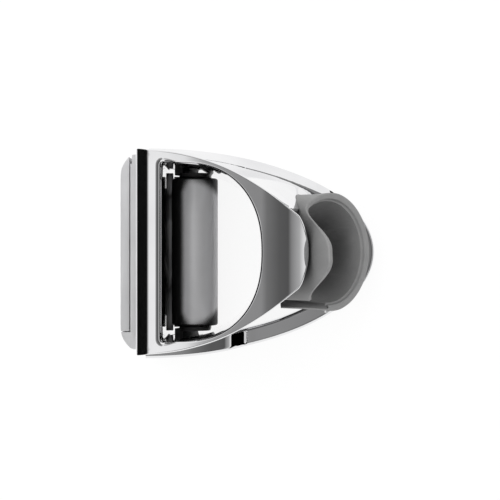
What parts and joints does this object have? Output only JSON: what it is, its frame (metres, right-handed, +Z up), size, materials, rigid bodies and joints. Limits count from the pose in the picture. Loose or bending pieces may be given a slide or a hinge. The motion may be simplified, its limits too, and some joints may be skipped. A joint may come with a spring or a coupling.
{
  "type": "shower rail slider",
  "caption": "Chromed sleeve for a flat shower rail, with a sprung clamp roller, a release plate behind and a tilted, slotted plastic cup for the handset.",
  "frame": {"origin": "bottom centre of the whole slider, on the surface it stands on", "axes": "+Z up along the rail, +X from the wall towards the user and the handset cup, +Y across the rail towards the closed side"},
  "size_m": [0.0686, 0.0578, 0.046],
  "materials": {
    "body_chrome": "mirror-polished chrome plate",
    "cup_plastic": "fine-textured grey moulding",
    "screw_steel": "plain turned steel",
    "roller_chrome": "polished chrome tube",
    "bush_plastic": "pale bearing plastic",
    "axle_steel": "ground steel pin",
    "carrier_plastic": "dark moulded plastic",
    "spring_steel": "spring wire",
    "foot_steel": "plain pressed steel",
    "cover_chrome": "satin chrome",
    "plate_chrome": "satin chrome"
  },
  "bodies": {
    "slider": {"slider_body": "body_chrome", "cup_insert": "cup_plastic", "insert_screw": "screw_steel", "back_cover": "cover_chrome", "plate_hinge_pin": "axle_steel", "cover_screw_left_inner": "screw_steel", "cover_screw_left_outer": "screw_steel", "cover_screw_right_inner": "screw_steel", "cover_screw_right_outer": "screw_steel", "carrier_spring_left": "spring_steel", "carrier_spring_right": "spring_steel"},
    "release": {"release_plate": "plate_chrome"},
    "carrier": {"roller_carrier": "carrier_plastic", "carrier_foot": "foot_steel", "foot_rivet_left": "foot_steel", "foot_rivet_right": "foot_steel", "roller_axle": "axle_steel"},
    "roller": {"clamp_roller": "roller_chrome", "roller_bush_left": "bush_plastic", "roller_bush_right": "bush_plastic"}
  },
  "joints": [
    {"name": "release_plate_hinge", "type": "hinge", "parent": "slider", "child": "release", "pos_m": [-0.03072, 0.022, 0.011], "axis": [0, 0, -1], "range_deg": [0, 6]},
    {"name": "carrier_slide", "type": "slide", "parent": "slider", "child": "carrier", "axis": [-0.342, 0, 0.9397], "range_m": [0, 0.00151], "stiffness_N_per_m": 60, "springref_m": -0.001, "deforming": ["carrier_spring_left", "carrier_spring_right"]},
    {"name": "roller_spin", "type": "hinge", "parent": "carrier", "child": "roller", "pos_m": [-0.01482, 0, 0.014], "axis": [0, 1, 0], "continuous": true}
  ],
  "couplings": [
    {"joint": "carrier_slide", "follows": "release_plate_hinge", "m_per_rad": 0.0142}
  ]
}
